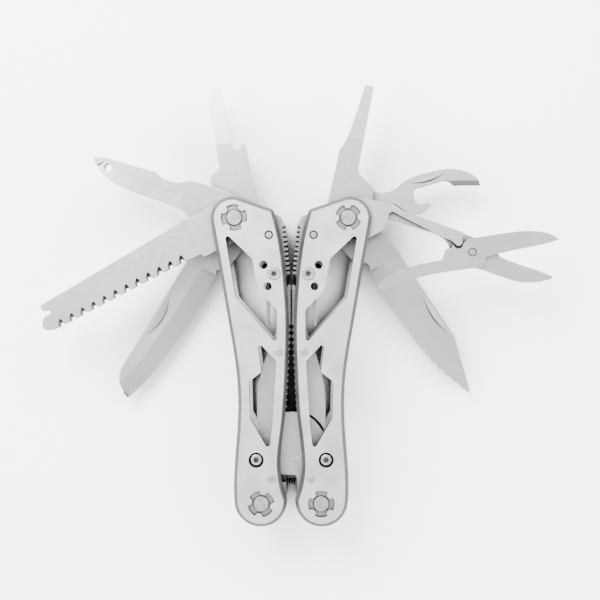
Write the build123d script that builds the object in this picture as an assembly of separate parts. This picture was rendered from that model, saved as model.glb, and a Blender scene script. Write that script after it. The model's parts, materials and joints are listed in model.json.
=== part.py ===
from build123d import *
import math
import os

# A folding multi tool lying on its back, tools fanned out: two handles folded beside a pair of pliers.
# X runs across the handles, Y along them towards the tool pivots, Z up through their thickness.

# ---- thickness stack (mm, from the resting face up) ----
THICKNESS = 20.4
SCALE = 2.6
LAYER_4 = (2.95, 5.75)
LAYER_3 = (6.75, 10.05)
LAYER_2 = (10.35, 13.65)
LAYER_1 = (14.65, 17.45)
SCISSOR_SPLIT = 16.0
PLIER = (6.9, 13.5)
INSIDE = (SCALE, THICKNESS - SCALE)
MIDDLE = THICKNESS / 2

# ---- plan layout, measured from the plier joint ----
PLIER_PIVOT = (9.4, -16.9)
PIVOT_SPAN = 90.0
HANDLE_TILT = 5.4
TOOL_PIVOT = (
    PLIER_PIVOT[0] + PIVOT_SPAN * math.sin(math.radians(HANDLE_TILT)),
    PLIER_PIVOT[1] + PIVOT_SPAN * math.cos(math.radians(HANDLE_TILT)),
)

# ---- running gear ----
AXLE_R = 2.45
SPACER_R = 5.2
RUN = 0.05
FIT = 0.02
LINK_SLACK = 0.22
THROUGH = (-1.0, THICKNESS + 1.0)
LAP_R = 11.0
LAP_RELIEF = 0.8
LAP_GAP = 0.1
TANG_R = 7.0
RECESS_R = 4.15
RECESS_DEPTH = 1.2
TAB_AT = 4.05
TAB_R = 1.15
NUT_THICK = 0.6

# ---- pliers ----
JOINT_R = 2.5
JOINT_HEAD_R = 4.0
JOINT_HEAD = 0.75
PIPE_FROM, PIPE_TO = 10.7, 36.5
PIPE_HALF = 1.5
PIPE_CLOSED = 0.12
PIPE_TEETH, PIPE_PITCH = 14, 2.04
TOOTH_DEPTH = 0.75
NOSE_TEETH, NOSE_PITCH = 14, 0.8
SLEEVE_ROOM = 0.7
SWEEP_FROM, SWEEP_TURN = 86.5, 180

# ---- handle hardware, in the handle's own frame: tool pivot at 0, +X the inner side, -Y to the pliers ----
LOCK_PIN = (10.3, -6.4)
SPRING_POST = (10.8, -18.7)
END_POST = (-0.25, -76.2)
RIVETS = ((9.85, -43.1), (4.0, -82.5))
RIVET_R = 1.28
DOME = 0.35
CHAMFER = 1.1
OUTLINE_CORNER_R = 1.3
WINDOW_CORNER_R = 0.75
AXLE_CHAMFER = 0.2
POST_R = 1.3
PIN_DROP = 0.1
END_DROP = 0.4
LEAF_HALF = 0.4
LEAF_Z = (4.2, 15.6)
SIGHT_HOLES = ((7.8, -15.6), (8.45, -22.4))
SIGHT_R = 1.3
PIN_R = 0.92
PIN_SINK = (1.38, 1.2)
SHANK_R = 0.8
SHANK_REACH = 4.0
HEAD = 1.0
POST_HEAD_R = 2.0
POST_SINK = (2.1, 1.0)
END_HEAD_R = 1.95
END_SINK = (2.4, 1.4)
SOCKET_R = 0.95
SOCKET_DEPTH = 0.85
SLEEVE_R = 2.2
LEVER_Z = (3.2, 15.9)
RIDGES = 11
RIDGE_PITCH = 1.53
LOBE_TURNS = {"left": (48.0, -16.0), "right": (-8.0, 40.0)}

# ---- tool directions in the resting pose (degrees anticlockwise from +X) ----
SAW_AT, CUTTER_AT, NOTCHED_AT, KNIFE_AT = -152.1, 156.4, 99.5, -123.2
FLAT_AT, OPENER_AT, SERRATED_AT, SCISSORS_AT = 80.2, 15.2, -53.9, -5.3
SCISSORS_RIVET = (7.0, 40.3)
SCISSORS_RIVET_R = 1.05
SCISSORS_SINK = (1.4, 0.5)
SCISSORS_STEP = 42.7
SAW_FIRST, SAW_PITCH, SAW_TEETH = 20.0, 3.92, 12
SAW_STEP = 15.2
STEP = 0.15


def outline(start, *moves):
    """A flat face: each move is one point for a straight, two for an arc, more for a smooth curve."""
    edges, here = [], start
    for move in moves:
        run = [here, *move]
        if len(run) == 2:
            edges.append(Line(*run))
        elif len(run) == 3:
            edges.append(ThreePointArc(*run))
        else:
            edges.append(Spline(*run))
        here = run[-1]
    if math.dist(here, start) > 1e-6:
        edges.append(Line(here, start))
    return make_face(Wire(edges))


def window(corners, radius):
    """A polygon face with rounded corners."""
    face = make_face(Polyline(*corners, close=True))
    return fillet(face.vertices(), radius)


def slab(face, z):
    """A flat face given thickness between two heights."""
    low, high = z
    return extrude(Pos(0, 0, low) * face, amount=high - low, dir=(0, 0, 1))


def disc(place, radius, z):
    """A round bar or washer blank standing between two heights."""
    low, high = z
    return Pos(place[0], place[1], (low + high) / 2) * Cylinder(radius, high - low)


def ring(place, outer, inner, z):
    """A washer or sleeve."""
    return disc(place, outer, z) - disc(place, inner, z)


def star_socket(place, radius, z):
    """A six-lobed driver socket, as a tool to cut with."""
    cut = disc(place, 0.72 * radius, z)
    for turn in range(0, 360, 60):
        a = math.radians(turn)
        lobe = (place[0] + 0.7 * radius * math.cos(a), place[1] + 0.7 * radius * math.sin(a))
        cut += disc(lobe, 0.3 * radius, z)
    return cut


def wedge(path_points, width, z, rim, inward):
    """The two prisms that a grinding wheel takes off along an edge, leaving it rim thick."""
    low, high = z
    middle = (low + high) / 2
    path = Spline(*path_points) if len(path_points) > 2 else Line(*path_points)
    along = path % 0
    across = Vector(-along.Y, along.X, 0) * inward
    section = Plane(origin=path @ 0, x_dir=across, z_dir=along)
    up = section.y_dir.Z
    cuts = []
    for side, face in ((1, high), (-1, low)):
        lip = middle + side * rim / 2
        beyond = lip - (face - lip) / width
        over = face + side * 0.6
        corners = [(-1.0, beyond), (width, face), (width, over), (-1.0, over)]
        ends = [section.from_local_coords((u, up * v)) for u, v in corners]
        cuts.append(sweep(make_face(Polyline(*ends, close=True)), path=path))
    return cuts


def ground(blade, path_points, width, z, rim=0.25, inward=1):
    """A blade with its cutting edge ground from both faces."""
    for cut in wedge(path_points, width, z, rim, inward):
        blade -= cut
    return blade


def nail_nick(ends, belly, top, depth=0.75):
    """A fingernail groove, as a tool to cut with: its floor falls from the straight side to the belly."""
    block = slab(outline(ends[0], [belly, ends[1]]), (top - depth, top + 0.5))
    along = Vector(ends[1][0] - ends[0][0], ends[1][1] - ends[0][1], 0)
    down = Vector(belly[0] - ends[0][0], belly[1] - ends[0][1], -depth)
    normal = along.cross(down)
    if normal.Z < 0:
        normal = -normal
    floor = Plane(origin=(ends[0][0], ends[0][1], top), x_dir=along, z_dir=normal)
    return split(block, bisect_by=floor, keep=Keep.TOP)


# ---------------------------------------------------------------- handles


def scale_outline():
    """The plan shape of one handle scale."""
    face = outline(
        (-7.35, -0.5),
        [(-6.3, -13.0), (-4.8, -33.0), (-3.85, -50.0), (-5.1, -65.0), (-7.6, -80.0), (-8.35, -89.0)],
        [(0.0, -97.3), (8.2, -89.5)],
        [(7.05, -79.0), (9.7, -65.0), (12.1, -50.0), (13.9, -35.0), (14.4, -22.0), (13.6, -5.0), (12.7, 0.2)],
        [(12.4, 1.2), (11.4, 1.9)],
        [(1.2, 6.5)],
        [(-5.1, 5.0), (-7.35, -0.5)],
    )
    return fillet(face.vertices(), OUTLINE_CORNER_R)


UPPER_WINDOW = ((-3.45, -4.2), (4.5, -13.4), (5.3, -23.7), (10.7, -30.0), (9.6, -40.8), (-2.0, -24.6))
LOWER_WINDOW = (
    (3.58, -39.0), (8.95, -46.0), (6.0, -65.0), (4.05, -74.0), (-0.95, -63.0), (-0.2, -51.6), (3.95, -48.9),
)


def tab(place, direction, radius, z):
    """One of the noses that stand into a pivot's recess."""
    reach = RECESS_R - TAB_AT
    strip = Pos(place[0], place[1], (z[0] + z[1]) / 2) * Rot(0, 0, direction) * Pos(RECESS_R, 0)
    nose = Pos(place[0], place[1], 0) * Rot(0, 0, direction) * Pos(TAB_AT, 0)
    return strip * Box(2 * reach, 2 * radius, z[1] - z[0]) + slab(nose * Circle(radius), z)


def lobed_recess(place, turn, z):
    """The round recess round a pivot with four scale tabs left standing in it."""
    cut = disc(place, RECESS_R, z)
    for quarter in range(4):
        cut -= tab(place, turn + 90 * quarter, TAB_R, z)
    return cut


def sink(place, radius, depth):
    """A counterbore from the outside face."""
    return disc(place, radius, (THICKNESS - depth, THICKNESS + 1))


def front_scale(turns):
    """The outer plate of a handle, chamfered, windowed and bored; its outside face is the top one."""
    plate = slab(scale_outline(), (INSIDE[1], THICKNESS))
    plate = chamfer(plate.faces().sort_by(Axis.Z)[-1].outer_wire().edges(), CHAMFER)
    for corners in (UPPER_WINDOW, LOWER_WINDOW):
        plate -= slab(window(corners, WINDOW_CORNER_R), THROUGH)
    for place, turn in (((0, 0), turns[0]), ((0, -PIVOT_SPAN), turns[1])):
        plate -= disc(place, AXLE_R + FIT, THROUGH)
        plate -= lobed_recess(place, turn, (THICKNESS - RECESS_DEPTH, THICKNESS + 1))
    plate -= disc(LOCK_PIN, PIN_R + FIT, THROUGH) + sink(LOCK_PIN, *PIN_SINK)
    plate -= disc(SPRING_POST, SHANK_R + FIT, THROUGH) + sink(SPRING_POST, *POST_SINK)
    plate -= disc(END_POST, SHANK_R + FIT, THROUGH) + sink(END_POST, *END_SINK)
    for place in SIGHT_HOLES:
        plate -= disc(place, SIGHT_R, THROUGH)
    for place in RIVETS:
        plate -= disc(place, RIVET_R + FIT, THROUGH)
    return plate


def flipped(piece):
    """The same piece turned to the back of the handle."""
    return mirror(piece, about=Plane.XY.offset(MIDDLE))


def rivet_stub(place, dome):
    """A rivet that fills its hole in one scale, domed or flush."""
    stub = disc(place, RIVET_R, (INSIDE[1], THICKNESS + (DOME if dome else 0)))
    if dome:
        stub = fillet(stub.edges().sort_by(Axis.Z)[-1], DOME - FIT)
    return stub


def lobed_nut(place, turn):
    """The keyed plate that sits in a lobed recess and holds the axle."""
    z = (THICKNESS - RECESS_DEPTH, THICKNESS - RECESS_DEPTH + NUT_THICK)
    nut = disc(place, RECESS_R - RUN, z) - disc(place, AXLE_R + FIT, THROUGH)
    for quarter in range(4):
        nut -= tab(place, turn + 90 * quarter, TAB_R + RUN, THROUGH)
    return nut


def pivot_nuts(turns):
    nuts = [lobed_nut((0, 0), turns[0]), lobed_nut((0, -PIVOT_SPAN), turns[1])]
    return nuts + [flipped(nut) for nut in nuts]


def axle(place):
    """A pivot axle, flush with both scales and softly chamfered."""
    bar = disc(place, AXLE_R, (0, THICKNESS))
    return chamfer(bar.edges().filter_by(GeomType.CIRCLE), AXLE_CHAMFER)


def tool_washers():
    """The washers between the tools on their axle."""
    stack = [INSIDE[0], *LAYER_4, *LAYER_3, *LAYER_2, *LAYER_1, INSIDE[1]]
    return [ring((0, 0), SPACER_R, AXLE_R + FIT, pair) for pair in zip(stack[0::2], stack[1::2])]


def plier_bushes():
    """The bushes that centre a plier tang between the scales."""
    low = ring((0, -PIVOT_SPAN), SPACER_R, AXLE_R + FIT, (INSIDE[0], PLIER[0]))
    return [low, flipped(low)]


def screw(place, radius, top, crown):
    """A star-socket screw from the front face, its shank reaching into the post below."""
    head = disc(place, radius, (top - HEAD, top))
    head = fillet(head.edges().sort_by(Axis.Z)[-1], crown)
    head += disc(place, SHANK_R, (INSIDE[1] - SHANK_REACH, top - HEAD))
    return head - star_socket(place, SOCKET_R, (top - SOCKET_DEPTH, top + 1))


def handle_screws():
    """The star-socket screws: nearly flat over the spring post, rounder and sunk deeper over the sleeve."""
    screws = [
        screw(SPRING_POST, POST_HEAD_R, THICKNESS, 0.2),
        screw(END_POST, END_HEAD_R, THICKNESS - END_DROP, 0.7),
    ]
    return screws + [flipped(one) for one in screws]


def shank_hole(place):
    """The blind holes that take a post's two screws."""
    hole = disc(place, SHANK_R + FIT, (INSIDE[1] - SHANK_REACH, THICKNESS))
    return hole + flipped(hole)


def spring_post():
    """The post the leaf spring leans on; it stops under the top tool, which swings over it."""
    return disc(SPRING_POST, POST_R, (INSIDE[0], LEVER_Z[1])) - shank_hole(SPRING_POST)


def end_sleeve():
    """The sleeve that keeps the scales apart beyond the tool tips."""
    return disc(END_POST, SLEEVE_R, INSIDE) - shank_hole(END_POST)


def lock_pin():
    """The pin the lock lever rocks on."""
    return disc(LOCK_PIN, PIN_R, (PIN_DROP, THICKNESS - PIN_DROP))


def lock_lever():
    """The ridged lever that holds a tool open: nose by the tangs, thumb ridges down its outer edge."""
    ridge_moves = []
    for n in range(RIDGES):
        y = -3.05 - n * RIDGE_PITCH
        ridge_moves += [[(15.8, y - 0.35), (15.5, y - 0.75)], [(14.6, y - 0.85)], [(14.6, y - 1.4)]]
        ridge_moves += [[(15.2, y - RIDGE_PITCH)]]
    face = outline(
        (7.55, 0.4),
        [(9.6, 0.75), (12.4, 0.2)],
        [(14.6, -0.9), (15.2, -3.05)],
        *ridge_moves,
        [(13.55, -19.9)],
        [(13.4, -15.0)],
        [(13.2, -10.4)],
        [(11.9, -8.5)],
        [(10.3, -8.9), (7.95, -7.3)],
        [(7.9, -5.0)],
        [(7.2, -1.9)],
        [(7.5, -0.8), (7.55, 0.4)],
    )
    return slab(face, LEVER_Z) - disc(LOCK_PIN, PIN_R + RUN, THROUGH)


def leaf_spring():
    """The bent strip that pushes the lever's tail outwards."""
    spine = ((12.15, -12.0), (10.2, -15.3), (8.9, -19.0), (8.4, -23.0), (7.85, -27.0), (7.0, -34.8))
    right = [(x + LEAF_HALF, y) for x, y in spine]
    left = [(x - LEAF_HALF, y) for x, y in reversed(spine)]
    face = outline(right[0], right[1:], [left[0]], left[1:])
    return slab(face, LEAF_Z)


# ---------------------------------------------------------------- tools, each pointing up +Y from its pivot


def tang_bore(tool, z):
    """Adds the round tang and its running bore to a tool."""
    tool += disc((0, 0), TANG_R, z)
    return tool - disc((0, 0), AXLE_R + RUN, THROUGH)


def gullet(y):
    """The undercut space between two saw teeth, as a tool to cut with, narrower at the back."""
    front = [(-4.6, y - 0.1), (-2.3, y + 0.25), (-2.05, y + 0.85), (-3.2, y + 1.75), (-4.6, y + 2.15)]
    back = [(-4.6, y + 0.3), (-3.9, y + 0.6), (-3.6, y + 0.9), (-3.4, y + 1.5), (-4.6, y + 2.0)]
    faces = [
        Pos(0, 0, z) * make_face(Polyline(*corners, close=True))
        for z, corners in ((LAYER_1[0] - 0.1, back), (LAYER_1[1] + 0.1, front))
    ]
    return loft(faces, ruled=True)


def saw_blade():
    """The wood saw, ground a little thinner than its tang, with a hooked and rounded tip."""
    face = outline(
        (7.2, 4.0),
        [(6.9, 15.5)],
        [(4.45, 66.6)],
        [(4.3, 67.2), (3.7, 67.4)],
        [(2.8, 67.3)],
        [(2.3, 67.0), (2.2, 66.3)],
        [(1.4, 65.4), (0.7, 66.3)],
        [(0.0, 68.6), (-1.2, 69.5), (-2.4, 69.7), (-3.7, 68.8), (-4.25, 67.0), (-4.35, 65.3)],
        [(-4.45, SAW_FIRST)],
        [(-4.9, 18.4)],
        [(-4.9, 14.9)],
        [(-6.2, 14.0)],
        [(-6.3, 4.0)],
    )
    blade = tang_bore(slab(face, LAYER_1), LAYER_1)
    blade -= Pos(0, SAW_STEP + 40, LAYER_1[1] + 0.5 - STEP) * Box(30, 80, 1)
    for n in range(SAW_TEETH):
        blade -= gullet(SAW_FIRST + n * SAW_PITCH)
    return blade


def cutter_blade():
    """The hooked package cutter with a hole near its point."""
    face = outline(
        (7.0, 2.0),
        [(6.8, 11.0), (6.0, 16.5), (5.4, 18.8), (4.2, 20.7), (3.2, 22.9), (2.8, 25.5), (2.9, 28.0)],
        [(3.7, 29.6), (3.5, 31.5)],
        [(2.9, 36.0), (2.25, 41.0), (1.5, 46.0), (0.85, 48.6), (0.15, 50.0)],
        [(-1.9, 48.0), (-3.4, 45.6), (-4.5, 42.4), (-5.0, 38.0), (-4.6, 30.0), (-4.1, 23.0), (-4.0, 18.0)],
        [(-4.2, 16.6), (-5.1, 14.8)],
        [(-5.6, 12.6)],
        [(-2.0, 10.2)],
        [(-2.0, 2.0)],
    )
    blade = tang_bore(slab(face, LAYER_2), LAYER_2)
    edge = ((-4.0, 18.3), (-4.1, 23.0), (-4.6, 30.0), (-5.0, 38.0), (-4.5, 42.4), (-3.4, 45.6), (-1.9, 48.0))
    blade = ground(blade, edge, 3.4, LAYER_2, inward=-1)
    return blade - disc((-1.0, 44.3), 1.2, THROUGH)


def notched_screwdriver():
    """The wide screwdriver with a wire hook at its shoulder."""
    face = outline(
        (7.0, 2.0),
        [(7.65, 6.0)],
        [(7.1, 18.0)],
        [(6.95, 23.4)],
        [(6.2, 24.4), (5.4, 23.8)],
        [(3.9, 22.5), (2.4, 24.2)],
        [(2.1, 36.0)],
        [(2.0, 42.6)],
        [(1.8, 43.1), (1.3, 43.2)],
        [(-2.3, 43.1)],
        [(-2.8, 42.9), (-2.9, 42.3)],
        [(-2.6, 30.0)],
        [(-2.6, 18.4)],
        [(-2.75, 17.7), (-3.2, 17.3)],
        [(-5.9, 15.7)],
        [(-6.1, 12.4)],
        [(-2.2, 10.2)],
        [(-2.2, 2.0)],
    )
    tool = tang_bore(slab(face, LAYER_3), LAYER_3)
    return blade_tip(tool, 43.2, LAYER_3)


def blade_tip(tool, top, z, length=18.0, rim=1.1):
    """A screwdriver's flats, tapering both faces down to its tip."""
    half_span, end = 5.5, top + 0.5
    for side, face in ((1, z[1]), (-1, z[0])):
        lip, over = (z[0] + z[1] + side * rim) / 2, face + side
        corners = [(top - length, face), (end, lip), (end, over), (top - length, over)]
        flat = Plane.YZ.offset(-half_span) * make_face(Polyline(*corners, close=True))
        tool -= extrude(flat, amount=2 * half_span)
    return tool


def knife_blade():
    """The plain-edged knife."""
    face = outline(
        (7.0, 2.0),
        [(6.9, 20.0)],
        [(6.4, 35.0), (6.05, 45.0), (5.9, 55.0), (5.7, 60.5), (4.7, 64.2), (2.6, 66.6), (-1.45, 68.4)],
        [(-2.6, 64.0), (-3.7, 57.0), (-4.3, 47.0), (-4.5, 37.0), (-4.4, 28.0), (-3.9, 18.6)],
        [(-3.2, 17.9), (-3.1, 17.0)],
        [(-4.6, 14.6)],
        [(-5.8, 12.8)],
        [(-6.3, 10.0)],
        [(-6.3, 2.0)],
    )
    blade = tang_bore(slab(face, LAYER_4), LAYER_4)
    edge = ((-3.9, 18.6), (-4.4, 28.0), (-4.5, 37.0), (-4.3, 47.0), (-3.7, 57.0), (-2.6, 64.0), (-1.45, 68.4))
    blade = ground(blade, edge, 5.5, LAYER_4, inward=-1)
    return blade - nail_nick(((5.0, 48.2), (5.65, 32.6)), (2.9, 41.5), LAYER_4[1])


def flat_screwdriver():
    """The narrow flat screwdriver."""
    face = outline(
        (7.0, 2.0),
        [(6.9, 11.4)],
        [(4.4, 13.2)],
        [(2.1, 14.7)],
        [(1.2, 15.6), (0.85, 17.2)],
        [(1.05, 30.0)],
        [(1.3, 43.6)],
        [(1.0, 43.9)],
        [(-1.6, 44.0)],
        [(-1.95, 43.5)],
        [(-2.3, 40.0), (-3.1, 34.6), (-4.1, 28.4), (-5.2, 24.4), (-6.35, 21.8)],
        [(-6.45, 18.0)],
        [(-7.2, 5.0)],
        [(-7.0, 2.0)],
    )
    tool = tang_bore(slab(face, LAYER_2), LAYER_2)
    return blade_tip(tool, 44.0, LAYER_2)


def can_opener():
    """The can opener's hook and the bottle opener's claw facing each other across one mouth."""
    face = outline(
        (7.0, 2.0),
        [(6.8, 9.5)],
        [(5.8, 11.2)],
        [(-0.4, 14.9)],
        [(-1.25, 15.7), (-0.9, 16.8)],
        [(3.3, 20.6)],
        [(3.75, 21.6), (3.85, 23.4), (3.7, 25.6), (3.0, 27.1), (2.1, 27.6)],
        [(1.5, 27.3), (1.35, 26.5)],
        [(1.1, 24.4), (0.2, 23.4), (-1.2, 23.1), (-2.7, 23.4), (-3.9, 24.4), (-4.3, 26.2)],
        [(-4.4, 34.0)],
        [(-3.9, 35.5), (-2.7, 36.5)],
        [(-1.9, 36.9)],
        [(-0.9, 41.0)],
        [(0.3, 45.3)],
        [(-2.9, 44.1), (-5.1, 41.9), (-6.8, 38.8), (-7.8, 35.0), (-8.15, 30.0), (-8.0, 24.5), (-7.6, 22.0)],
        [(-6.7, 20.0), (-5.8, 17.8), (-5.4, 15.2), (-6.0, 12.8), (-7.0, 11.0)],
        [(-7.2, 5.0)],
        [(-7.0, 2.0)],
    )
    tool = tang_bore(slab(face, LAYER_3), LAYER_3)
    tool = ground(tool, ((-2.2, 35.8), (0.5, 46.0)), 1.6, LAYER_3, rim=0.4, inward=1)
    return tool - nail_nick(((-6.95, 35.2), (-6.8, 22.6)), (-5.2, 29.5), LAYER_3[1])


def serrated_blade():
    """The chisel-pointed knife with scallops towards its point."""
    scallops, low, pitch, curve, power = 6, 48.4, 3.05, 0.019, 1.75
    moves = []
    for n in range(scallops):
        y = low + (n + 1) * pitch
        x = 4.45 - curve * (y - low) ** power
        belly = 4.0 - curve * (y - 0.55 * pitch - low) ** power
        moves.append([(belly, y - 0.5 * pitch), (x, y)])
    face = outline(
        (7.0, 2.0),
        [(5.8, 10.6)],
        [(4.6, 14.4)],
        [(2.6, 15.0), (3.1, 17.6)],
        [(3.8, 21.0), (4.3, 28.0), (4.45, 36.0), (4.5, 44.0), (4.45, 48.4)],
        *moves,
        [(0.0, 70.2)],
        [(-1.5, 66.2), (-3.0, 61.8), (-4.6, 57.0), (-6.0, 53.6)],
        [(-6.6, 51.9), (-6.85, 50.0)],
        [(-7.3, 38.0)],
        [(-8.2, 18.0)],
        [(-7.4, 8.0)],
        [(-7.0, 2.0)],
    )
    blade = tang_bore(slab(face, LAYER_4), LAYER_4)
    edge = ((3.1, 17.8), (4.3, 28.0), (4.5, 44.0), (3.9, 55.0), (2.2, 64.0), (0.0, 70.6))
    blade = ground(blade, edge, 5.0, LAYER_4)
    return blade - nail_nick(((-6.1, 50.2), (-6.6, 34.6)), (-4.4, 42.0), LAYER_4[1])


SCISSOR_LOW = (LAYER_1[0], SCISSOR_SPLIT)
SCISSOR_HIGH = (SCISSOR_SPLIT + 0.05, LAYER_1[1])


def scissors_back_blade():
    """The fixed scissor half: tang, shank and lower blade, in the lower half of its layer."""
    face = outline(
        (-7.0, 2.0),
        [(-6.8, 6.0)],
        [(-5.2, 13.5), (-3.2, 20.1), (-1.2, 28.0), (2.1, 40.7)],
        [(4.8, 46.6)],
        [(7.5, 49.6)],
        [(9.0, 54.6), (10.6, 61.4), (12.4, 67.2)],
        [(14.2, 63.2), (14.9, 58.4), (14.2, 52.4), (12.3, 45.0)],
        [(11.2, 38.0)],
        [(8.6, 34.6), (5.6, 33.0)],
        [(3.4, 31.0), (1.7, 26.6)],
        [(-1.3, 13.0)],
        [(0.4, 12.4), (2.7, 11.3)],
        [(5.4, 7.5)],
        [(7.0, 2.0)],
    )
    half = tang_bore(slab(face, SCISSOR_LOW), SCISSOR_LOW)
    return half - disc(SCISSORS_RIVET, SCISSORS_RIVET_R + RUN, THROUGH)


def scissors_front_blade():
    """The moving scissor half: upper blade and finger lever in one."""
    face = outline(
        (0.4, 67.3),
        [(-0.9, 64.8), (-1.5, 60.0), (-0.8, 53.5), (1.0, 46.0), (2.45, 40.2)],
        [(3.0, 38.4)],
        [(4.6, 37.2)],
        [(6.3, 35.6), (5.2, 34.0)],
        [(6.3, 33.6)],
        [(6.7, 32.0)],
        [(10.3, 31.2)],
        [(11.7, 26.0), (13.5, 20.9), (15.6, 17.0), (17.9, 13.9), (20.0, 11.3)],
        [(21.4, 12.0), (20.9, 14.7)],
        [(18.9, 18.4), (16.9, 23.0), (15.1, 28.4), (13.4, 35.0), (11.9, 41.4)],
        [(11.4, 43.6), (10.2, 44.6)],
        [(8.2, 44.8)],
        [(6.6, 48.9), (4.8, 54.4), (2.9, 60.8), (0.4, 67.3)],
    )
    half = slab(face, SCISSOR_HIGH) - disc(SCISSORS_RIVET, SCISSORS_RIVET_R + RUN, THROUGH)
    half -= disc(SCISSORS_RIVET, SCISSORS_SINK[0], (LAYER_1[1] - SCISSORS_SINK[1], THICKNESS))
    return half - Pos(5, SCISSORS_STEP + 20, LAYER_1[1] + 0.5 - 2 * STEP) * Box(30, 40, 1)


def scissors_spring():
    """The springy arm lying on the fixed half, its nub in the moving half's notch."""
    face = outline(
        (-7.0, 2.0),
        [(-6.8, 6.0)],
        [(-5.2, 13.5), (-3.2, 20.1), (-1.2, 28.0), (0.75, 35.6)],
        [(1.0, 36.6), (2.0, 36.9)],
        [(3.4, 36.6)],
        [(5.2, 36.2), (5.0, 34.8)],
        [(3.8, 33.0)],
        [(3.1, 30.1)],
        [(0.3, 23.4), (-2.3, 16.8), (-3.35, 14.4)],
        [(-3.1, 13.2), (-2.0, 12.7)],
        [(0.4, 12.3), (2.7, 11.3)],
        [(5.4, 7.5)],
        [(7.0, 2.0)],
    )
    return tang_bore(slab(face, SCISSOR_HIGH), SCISSOR_HIGH)


def scissors_rivet():
    """A flush rivet through both scissor halves."""
    return disc(SCISSORS_RIVET, SCISSORS_RIVET_R, LAYER_1)


# ---------------------------------------------------------------- pliers, from their joint


def jaw_outline():
    """The right jaw in plan: the pipe opening with its teeth closing up to a fine-toothed nose."""
    y = PIPE_FROM
    moves = [[(PIPE_HALF + TOOTH_DEPTH, y)]]
    for n in range(PIPE_TEETH):
        middle, tip = y + PIPE_PITCH / 2, y + PIPE_PITCH
        root = pipe_gap(middle) + TOOTH_DEPTH
        moves += [[(root, middle - 0.2)], [(root, middle + 0.2)], [(pipe_gap(tip), tip)]]
        y = tip
    for n in range(NOSE_TEETH):
        moves += [[(0.42, y + NOSE_PITCH / 2)], [(PIPE_CLOSED, y + NOSE_PITCH)]]
        y += NOSE_PITCH
    return outline(
        (0.15, 2.0),
        [(0.15, PIPE_FROM)],
        *moves,
        [(0.15, y + 0.75)],
        [(0.45, y + 1.3), (0.9, y + 1.4)],
        [(1.35, y + 0.75)],
        [(2.2, 48.0), (3.3, 44.0), (4.7, 38.0), (7.2, 30.9)],
        [(9.6, 23.6), (10.7, 16.0), (10.8, 5.0)],
        [(10.8, 2.0)],
    )


def pipe_gap(y):
    """Half the space between the tooth tips of the two closed jaws."""
    return max(PIPE_CLOSED, PIPE_HALF * (PIPE_TO - y) / (PIPE_TO - PIPE_FROM))


def tang_outline(side):
    """The tang from the joint across to a plier pivot."""
    reach = math.dist((0, 0), PLIER_PIVOT)
    lean = math.degrees(math.atan2(PLIER_PIVOT[1], side * PLIER_PIVOT[0]))
    boss, neck = 6.4, 6.0
    shape = Circle(neck) + Pos(reach, 0) * Circle(boss)
    shape += make_face(Polyline((0, neck), (reach, boss), (reach, -boss), (0, -neck), close=True))
    return Rot(0, 0, lean) * shape


def post_sweep(side):
    """The ring sector that the handle's end sleeve passes through as the handle unfolds."""
    centre = (side * PLIER_PIVOT[0], PLIER_PIVOT[1])
    reach = math.dist((0, -PIVOT_SPAN), END_POST)
    path = ring(centre, reach + SLEEVE_R + SLEEVE_ROOM, reach - SLEEVE_R - SLEEVE_ROOM, THROUGH)
    corners = [centre]
    for turn in range(0, SWEEP_TURN + 1, 15):
        a = math.radians(SWEEP_FROM + turn)
        corners.append((centre[0] - side * 2 * reach * math.cos(a), centre[1] + 2 * reach * math.sin(a)))
    return path & slab(make_face(Polyline(*corners, close=True)), THROUGH)


def plier_half(pivot_room):
    """The half with the left jaw and the front lap; pivot_room is the play round the axle in its tang."""
    front_lap = MIDDLE + LAP_GAP / 2
    body = mirror(slab(jaw_outline(), PLIER), about=Plane.YZ)
    body += slab(tang_outline(1), PLIER)
    body -= disc((0, 0), LAP_R + LAP_RELIEF, (PLIER[0] - 1, front_lap))
    body += disc((0, 0), LAP_R, (front_lap, PLIER[1]))
    body -= slab(window(((-18.0, -30.0), (1.75, -30.0), (1.75, -9.2), (-18.0, -8.6)), 1.2), THROUGH)
    for side in (-1, 1):
        body -= post_sweep(side)
    body -= disc((0, 0), JOINT_R + RUN, THROUGH)
    body -= disc((0, 0), JOINT_HEAD_R + RUN, (PLIER[1] - JOINT_HEAD - RUN, THICKNESS))
    return body - disc(PLIER_PIVOT, AXLE_R + pivot_room, THROUGH)


def plier_half_b():
    """The left jaw, whose tang goes to the right handle; the bore is loose, as its axle travels straight."""
    return plier_half(RUN + LINK_SLACK)


def plier_half_a():
    """The right jaw, whose tang goes to the left handle: the half turned over about the long axis."""
    return Rot(0, 180, 0) * Pos(0, 0, -2 * MIDDLE) * plier_half(RUN)


def plier_rivet():
    """The joint rivet: shank and two flush heads."""
    low, high = PLIER
    rivet = disc((0, 0), JOINT_R, PLIER)
    for z in ((low, low + JOINT_HEAD), (high - JOINT_HEAD, high)):
        rivet += disc((0, 0), JOINT_HEAD_R, z)
    return rivet


def plier_spring():
    """The small coil spring between the tangs that opens the jaws."""
    pitch, turns, radius, wire = 0.8, 3.5, 0.9, 0.25
    coil = Helix(pitch, pitch * turns, radius)
    section = Plane(origin=coil @ 0, z_dir=coil % 0) * Circle(wire)
    spring = sweep(section, path=coil)
    return Pos(-pitch * turns / 2, -11.9, MIDDLE) * Rot(0, 90, 0) * spring


# ---------------------------------------------------------------- assembly


def placed(piece, at):
    """Moves a piece, or each of a list of pieces, to its place."""
    if isinstance(piece, list):
        return [at * one for one in piece]
    return at * piece


def mirrored(piece):
    if isinstance(piece, list):
        return [mirror(one, about=Plane.YZ) for one in piece]
    return mirror(piece, about=Plane.YZ)


HANDLE_AT = Pos(-TOOL_PIVOT[0], TOOL_PIVOT[1], 0) * Rot(0, 0, HANDLE_TILT)


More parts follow.
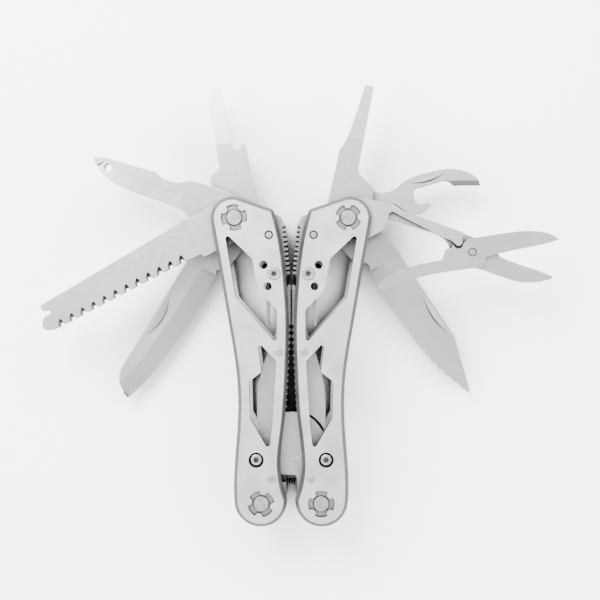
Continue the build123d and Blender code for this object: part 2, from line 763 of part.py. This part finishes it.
def handle(side):
    """Every piece of one handle, at its place beside the pliers."""
    turns = LOBE_TURNS[side]
    front = front_scale(turns)
    stubs = [rivet_stub(place, True) for place in RIVETS]
    flush = [flipped(rivet_stub(place, False)) for place in RIVETS]
    pieces = {
        "front_scale": front,
        "back_scale": flipped(front),
        "tool_axle": axle((0, 0)),
        "plier_axle": axle((0, -PIVOT_SPAN)),
        "pivot_nuts": pivot_nuts(turns),
        "tool_washers": tool_washers(),
        "plier_bushes": plier_bushes(),
        "handle_screws": handle_screws(),
        "spring_post": spring_post(),
        "end_sleeve": end_sleeve(),
        "dome_rivets": stubs + flush,
        "lock_pin": lock_pin(),
        "lock_lever": lock_lever(),
        "leaf_spring": leaf_spring(),
    }
    out = {}
    for name, piece in pieces.items():
        piece = placed(piece, HANDLE_AT)
        out[f"{side}_{name}"] = mirrored(piece) if side == "right" else piece
    return out


def tool_at(side, direction):
    """The place of a tool that points in a direction from its handle's tool pivot."""
    x = -TOOL_PIVOT[0] if side == "left" else TOOL_PIVOT[0]
    return Pos(x, TOOL_PIVOT[1], 0) * Rot(0, 0, direction - 90)


def tools():
    scissors = tool_at("right", SCISSORS_AT)
    return {
        "saw_blade": tool_at("left", SAW_AT) * saw_blade(),
        "package_cutter": tool_at("left", CUTTER_AT) * cutter_blade(),
        "notched_screwdriver": tool_at("left", NOTCHED_AT) * notched_screwdriver(),
        "knife_blade": tool_at("left", KNIFE_AT) * knife_blade(),
        "flat_screwdriver": tool_at("right", FLAT_AT) * flat_screwdriver(),
        "can_opener": tool_at("right", OPENER_AT) * can_opener(),
        "serrated_blade": tool_at("right", SERRATED_AT) * serrated_blade(),
        "scissors_back_blade": scissors * scissors_back_blade(),
        "scissors_front_blade": scissors * scissors_front_blade(),
        "scissors_spring": scissors * scissors_spring(),
        "scissors_rivet": scissors * scissors_rivet(),
    }


def pliers():
    return {
        "plier_half_a": plier_half_a(),
        "plier_half_b": plier_half_b(),
        "plier_rivet": plier_rivet(),
        "plier_spring": plier_spring(),
    }


def solids_of(piece):
    pieces = piece if isinstance(piece, list) else [piece]
    return [solid for one in pieces for solid in one.solids()]


def assembly():
    """Every node's solids, moved so that the middle of the resting footprint is the origin."""
    nodes = {**pliers(), **handle("left"), **handle("right"), **tools()}
    nodes = {name: solids_of(piece) for name, piece in nodes.items()}
    everything = [solid.moved(Location()) for group in nodes.values() for solid in group]
    box = Compound(children=everything).bounding_box()
    shift = Location((-(box.min.X + box.max.X) / 2, -(box.min.Y + box.max.Y) / 2, 0))
    return {name: [solid.moved(shift) for solid in group] for name, group in nodes.items()}, shift


if __name__ == "__main__":
    os.makedirs("parts", exist_ok=True)
    nodes, shift = assembly()
    for name, group in nodes.items():
        shape = group[0] if len(group) == 1 else Compound(children=group)
        export_step(shape, f"parts/{name}.step")
    print("nodes", len(nodes), "plier joint at", tuple(shift.position))
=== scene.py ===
import bmesh
import bpy
import json
import math
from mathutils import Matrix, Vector


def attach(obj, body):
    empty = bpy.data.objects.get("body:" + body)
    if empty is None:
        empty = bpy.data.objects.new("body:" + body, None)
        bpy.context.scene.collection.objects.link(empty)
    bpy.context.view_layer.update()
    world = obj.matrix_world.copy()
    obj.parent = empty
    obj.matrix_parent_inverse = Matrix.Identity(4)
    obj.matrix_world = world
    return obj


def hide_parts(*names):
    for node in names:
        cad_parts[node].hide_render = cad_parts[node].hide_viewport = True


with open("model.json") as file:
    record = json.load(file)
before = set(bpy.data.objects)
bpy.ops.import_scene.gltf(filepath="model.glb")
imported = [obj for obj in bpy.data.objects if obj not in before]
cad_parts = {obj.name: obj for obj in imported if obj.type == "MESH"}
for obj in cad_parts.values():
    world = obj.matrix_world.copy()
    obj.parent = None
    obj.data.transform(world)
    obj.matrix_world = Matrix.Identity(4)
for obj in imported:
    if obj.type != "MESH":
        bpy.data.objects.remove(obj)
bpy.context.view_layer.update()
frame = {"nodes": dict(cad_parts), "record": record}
NODES = frame["nodes"]
BODY = {node: body for body, nodes in frame["record"]["behaviour"]["bodies"].items() for node in nodes}
SLOT = {sub["node"]: sub["material_slot"] for sub in frame["record"]["subparts"]}
MM = 0.001

# ---------------------------------------------------------------- camera, lights and floor

CAMERA_HEIGHT = 0.2804
CAMERA_SHIFT = 0.84 * MM
LENS = 49.9
KEY_PLACE = (-0.22, 0.34, 0.42)
KEY_SIZE = (0.25, 0.25)
KEY_POWER = 8.0
SKY_PEAK = 14.0
BRIGHT_SIDE = (-0.5, 0.866, 0.0)
LOPSIDED = 0.45
SKY = ((0.0, 0.15), (0.3, 0.4), (0.42, 14.0), (0.6, 14.0), (0.76, 1.6), (1.0, 1.6))
FLOOR_HALF = 3.0
FLOOR_DROP = 0.0001


def camera():
    data = bpy.data.cameras.new("camera")
    data.lens = LENS
    data.sensor_width = 36.0
    data.clip_start = 0.01
    eye = bpy.data.objects.new("camera", data)
    bpy.context.scene.collection.objects.link(eye)
    eye.location = (0.0, CAMERA_SHIFT, CAMERA_HEIGHT)
    bpy.context.scene.camera = eye


def area_light(name, place, aim, size, power):
    """A soft white light that faces a point."""
    data = bpy.data.lights.new(name, "AREA")
    data.shape = "RECTANGLE"
    data.size, data.size_y = size
    data.energy = power
    lamp = bpy.data.objects.new(name, data)
    bpy.context.scene.collection.objects.link(lamp)
    lamp.location = place
    lamp.rotation_euler = (Vector(aim) - Vector(place)).to_track_quat("-Z", "Y").to_euler()


def studio():
    """A weak key, and a ring of softboxes, brighter at the upper left, with a dimmer ceiling and horizon."""
    area_light("key", KEY_PLACE, (0, 0, 0), KEY_SIZE, KEY_POWER)
    world = bpy.data.worlds.new("studio")
    world.use_nodes = True
    tree = world.node_tree
    sky = tree.nodes["Background"]
    where = tree.nodes.new("ShaderNodeTexCoord")
    split = tree.nodes.new("ShaderNodeSeparateXYZ")
    bands = tree.nodes.new("ShaderNodeValToRGB")
    side = tree.nodes.new("ShaderNodeVectorMath")
    side.operation = "DOT_PRODUCT"
    side.inputs[1].default_value = BRIGHT_SIDE
    level = tree.nodes.new("ShaderNodeMapRange")
    level.clamp = False
    level.inputs["From Min"].default_value = -1.0
    level.inputs["To Min"].default_value = SKY_PEAK * (1.0 - LOPSIDED)
    level.inputs["To Max"].default_value = SKY_PEAK * (1.0 + LOPSIDED)
    tree.links.new(where.outputs["Generated"], split.inputs[0])
    tree.links.new(where.outputs["Generated"], side.inputs[0])
    tree.links.new(split.outputs["Z"], bands.inputs["Fac"])
    tree.links.new(bands.outputs["Color"], sky.inputs["Color"])
    tree.links.new(side.outputs["Value"], level.inputs["Value"])
    tree.links.new(level.outputs[0], sky.inputs["Strength"])
    for spare in range(len(SKY) - 2):
        bands.color_ramp.elements.new(0.5)
    for stop, (height, share) in zip(bands.color_ramp.elements, SKY):
        stop.position = height
        stop.color = (share / SKY_PEAK,) * 3 + (1.0,)
    bpy.context.scene.world = world


def floor():
    half = FLOOR_HALF
    mesh = bpy.data.meshes.new("floor")
    corners = [(-half, -half, 0), (half, -half, 0), (half, half, 0), (-half, half, 0)]
    mesh.from_pydata(corners, [], [(0, 1, 2, 3)])
    sheet = bpy.data.objects.new("floor", mesh)
    bpy.context.scene.collection.objects.link(sheet)
    sheet.location.z = -FLOOR_DROP
    mesh.materials.append(floor_paper())


# ---------------------------------------------------------------- materials

NOISE_LOW, NOISE_HIGH = 0.3, 0.7
# Painted shade: side walls, small recesses and deep gaps between parts darken the base colour by these
# amounts.
WALL_NORMAL, TOP_NORMAL, WALL_SHADE = 0.66, 0.995, 0.06
RECESS_SHADE_LEVEL = 0.03
DEEP_SHADE_REACH, DEEP_SHADE_LEVEL = 0.016, 0.05
BLACK = (0.0, 0.0, 0.0)
PAPER = (0.88, 0.88, 0.88)


class Shader:
    """A short way to lay out a node material."""

    def __init__(self, name, metallic, roughness, colour):
        self.material = bpy.data.materials.new(name)
        self.material.use_nodes = True
        self.tree = self.material.node_tree
        self.surface = self.tree.nodes["Principled BSDF"]
        self.surface.inputs["Metallic"].default_value = metallic
        self.surface.inputs["Roughness"].default_value = roughness
        self.surface.inputs["Base Color"].default_value = (*colour, 1.0)

    def node(self, kind, inputs=(), **settings):
        made = self.tree.nodes.new(kind)
        for key, value in settings.items():
            setattr(made, key, value)
        for key, value in dict(inputs).items():
            if isinstance(value, bpy.types.NodeSocket):
                self.tree.links.new(value, made.inputs[key])
            else:
                made.inputs[key].default_value = value
        return made

    def link(self, output, socket):
        self.tree.links.new(output, self.surface.inputs[socket])

    def place(self, turn=0.0, stretch=(1.0, 1.0, 1.0)):
        """Object coordinates turned about Z, then scaled axis by axis."""
        where = self.node("ShaderNodeTexCoord").outputs["Object"]
        turned = self.node("ShaderNodeVectorRotate", {"Vector": where, "Angle": turn}, rotation_type="Z_AXIS")
        scaled = self.node("ShaderNodeVectorMath", {0: turned.outputs[0], 1: stretch}, operation="MULTIPLY")
        return scaled.outputs[0]

    def noise(self, vector, scale, detail=2.0, roughness=0.5):
        made = self.node("ShaderNodeTexNoise", {"Vector": vector, "Scale": scale, "Detail": detail,
                                                "Roughness": roughness})
        return made.outputs["Fac"]

    def ramp(self, value, low, high):
        made = self.node("ShaderNodeMapRange", {"Value": value, "To Min": low, "To Max": high,
                                                "From Min": NOISE_LOW, "From Max": NOISE_HIGH})
        return made.outputs[0]

    def bump(self, height, strength, distance):
        made = self.node("ShaderNodeBump", {"Height": height, "Strength": strength, "Distance": distance})
        self.link(made.outputs[0], "Normal")

    def mapped(self, value, low, high, floor_level, top_level=1.0):
        made = self.node("ShaderNodeMapRange", {"Value": value, "From Min": low, "From Max": high,
                                                "To Min": floor_level, "To Max": top_level})
        return made.outputs[0]

    def math(self, operation, first, second):
        return self.node("ShaderNodeMath", {0: first, 1: second}, operation=operation).outputs[0]

    def mix(self, factor, first, second):
        """Two colours blended. Each is a triple or another node's output."""
        ends = [end if isinstance(end, bpy.types.NodeSocket) else (*end, 1.0) for end in (first, second)]
        made = self.node("ShaderNodeMix", {"Factor": factor, 6: ends[0], 7: ends[1]}, data_type="RGBA")
        return made.outputs[2]

    def occlusion_shade(self, reach, low, high, dark):
        """Painted shade: 1 in the open, down to dark where other surfaces stand close over the point."""
        near = self.node("ShaderNodeAmbientOcclusion", {"Distance": reach}, samples=8)
        return self.mapped(near.outputs["AO"], low, high, dark)

    def tint_with_painted_shade(self, value, dark, light, recess=(0.003, 0.12, 0.8), below=(0.18, 0.62)):
        """A mottled colour, with painted shade on side walls and edges, in small recesses and far down
        between other parts.
        """
        geometry = self.node("ShaderNodeNewGeometry")
        facing = self.node("ShaderNodeSeparateXYZ", {0: geometry.outputs["True Normal"]})
        upright = self.math("ABSOLUTE", facing.outputs["Z"], 0.0)
        # Painted shade: the steeper a face, the darker its colour.
        side_shade = self.mapped(upright, WALL_NORMAL, TOP_NORMAL, WALL_SHADE)
        shade = self.math("MULTIPLY", side_shade, self.occlusion_shade(*recess, RECESS_SHADE_LEVEL))
        shade = self.math("MULTIPLY", shade, self.occlusion_shade(DEEP_SHADE_REACH, *below, DEEP_SHADE_LEVEL))
        mottled = self.mix(value, dark, light)
        self.link(self.mix(shade, BLACK, mottled), "Base Color")


def floor_paper():
    """Matt white paper, with painted shade only where the tool encloses it."""
    s = Shader("floor_paper", 0.0, 0.85, PAPER)
    # Painted shade: the paper colour goes to black where the tool closes in over it.
    open_to_sky = s.occlusion_shade(0.02, 0.1, 0.42, 0.02)
    s.link(s.mix(open_to_sky, BLACK, PAPER), "Base Color")
    return s.material


def blasted_steel(name, colour):
    """Bead-blasted stainless: a fine even pitting that scatters the light, with a faint speckle."""
    s = Shader(name, 1.0, 0.5, colour)
    where = s.place()
    fine = s.noise(where, 9000.0, 3.0, 0.6)
    speckle = s.noise(where, 2600.0, 2.0, 0.7)
    broad = s.noise(where, 160.0, 3.0)
    s.bump(fine, 0.35, 0.00006)
    s.link(s.ramp(broad, 0.44, 0.52), "Roughness")
    both = s.math("MULTIPLY", s.ramp(speckle, 0.0, 1.0), s.ramp(broad, 0.6, 1.0))
    s.tint_with_painted_shade(both, [c * 0.74 for c in colour], colour)
    return s.material


def brushed_steel(name, tone, turn):
    """Satin steel with a fine grain along the blade."""
    colour = (tone, tone, tone * 0.99)
    s = Shader(name, 1.0, 0.35, colour)
    grain = s.noise(s.place(turn, (1.0, 14.0, 1.0)), 500.0, 4.0, 0.6)
    broad = s.noise(s.place(), 45.0, 3.0)
    s.bump(grain, 0.18, 0.00004)
    s.link(s.ramp(grain, 0.28, 0.4), "Roughness")
    both = s.math("MULTIPLY", s.ramp(grain, 0.72, 1.0), s.ramp(broad, 0.55, 1.0))
    s.tint_with_painted_shade(both, [c * 0.7 for c in colour], colour)
    return s.material


def plain_steel(name, tone, roughness, **shading):
    """Turned or tumbled steel with a faint cloudy sheen."""
    colour = (tone, tone, tone)
    s = Shader(name, 1.0, roughness, colour)
    cloud = s.noise(s.place(), 900.0, 3.0)
    s.bump(cloud, 0.08, 0.00005)
    s.link(s.ramp(cloud, roughness - 0.04, roughness + 0.05), "Roughness")
    s.tint_with_painted_shade(s.ramp(cloud, 0.0, 1.0), [c * 0.88 for c in colour], colour, **shading)
    return s.material


# ---------------------------------------------------------------- pieces

WELD = 1e-6
EASE_SEGMENTS = 2
EASE_ANGLE = math.radians(28)
SHARP_ANGLE = math.radians(35)
FLAT_NORMAL = 0.85


def softened(node, width):
    """A copy of a CAD node with its sharp edges eased, standing for that node."""
    source = NODES[node]
    mesh = source.data.copy()
    mesh.name = node + "_eased"
    for layer in ("custom_normal", "sharp_edge", "sharp_face"):
        if layer in mesh.attributes:
            mesh.attributes.remove(mesh.attributes[layer])
    work = bmesh.new()
    work.from_mesh(mesh)
    bmesh.ops.remove_doubles(work, verts=work.verts, dist=WELD)
    work.to_mesh(mesh)
    work.free()
    piece = bpy.data.objects.new(node + "_eased", mesh)
    bpy.context.scene.collection.objects.link(piece)
    ease = piece.modifiers.new("ease", "BEVEL")
    ease.width = width
    ease.segments = EASE_SEGMENTS
    ease.limit_method = "ANGLE"
    ease.angle_limit = EASE_ANGLE
    ease.use_clamp_overlap = True
    ease.miter_outer = "MITER_ARC"
    bpy.context.view_layer.update()
    graph = bpy.context.evaluated_depsgraph_get()
    final = bpy.data.meshes.new_from_object(piece.evaluated_get(graph))
    rounded = "screws" in node or "rivets" in node
    final.set_sharp_from_angle(angle=SHARP_ANGLE)
    smooth = [rounded or abs(face.normal.z) < FLAT_NORMAL for face in final.polygons]
    final.polygons.foreach_set("use_smooth", smooth)
    piece.modifiers.clear()
    piece.data = final
    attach(piece, BODY[node])
    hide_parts(node)
    return piece


# Each blade's direction, in degrees.
GRAIN_TURN = {
    "saw_blade": -152.1, "package_cutter": 156.4, "notched_screwdriver": 99.5, "knife_blade": -123.2,
    "flat_screwdriver": 80.2, "can_opener": 15.2, "serrated_blade": -53.9,
    "scissors_back_blade": -5.3, "scissors_front_blade": -5.3, "scissors_spring": -5.3,
}
TONE = {"package_cutter": 0.52, "can_opener": 0.66, "scissors_spring": 0.66}
BLADE_TONE = 0.58
# The width of the eased edges, in millimetres.
EASE = {"scale_steel": 0.12, "blade_steel": 0.16, "jaw_steel": 0.14, "hardware_steel": 0.1}


def finish_for(node, finishes):
    """The material a node is made in."""
    if SLOT[node] == "blade_steel":
        turn = -math.radians(GRAIN_TURN[node])
        return brushed_steel(node + "_brushed", TONE.get(node, BLADE_TONE), turn)
    for word in ("nuts", "lever", "leaf", "plier_rivet"):
        if word in node:
            return finishes[word]
    return finishes[SLOT[node]]


def dress():
    finishes = {
        "scale_steel": blasted_steel("scale_blasted", (0.57, 0.57, 0.57)),
        # The jaws and the plier rivet get lighter painted shade deep between parts; the screws darker painted
        # shade in their sockets.
        "jaw_steel": plain_steel("jaw_satin", 0.66, 0.36, below=(0.04, 0.42)),
        "hardware_steel": plain_steel("hardware_turned", 0.55, 0.3, recess=(0.0016, 0.36, 0.9)),
        "plier_rivet": plain_steel("rivet_satin", 0.66, 0.34, below=(0.04, 0.42)),
        "spring_steel": plain_steel("spring_dark", 0.4, 0.3),
        # The nuts have a darker base tone than the other hardware.
        "nuts": plain_steel("nut_darker", 0.3, 0.38),
        # The levers' darker base colour is painted shade, for the shade the scales cast over them.
        "lever": plain_steel("lever_shaded", 0.4, 0.36),
        "leaf": plain_steel("leaf_polished", 0.65, 0.25),
    }
    for node, thing in NODES.items():
        slot = SLOT[node]
        target = softened(node, EASE[slot] * MM) if slot in EASE else thing
        target.data.materials.clear()
        target.data.materials.append(finish_for(node, finishes))


camera()
studio()
floor()
dress()
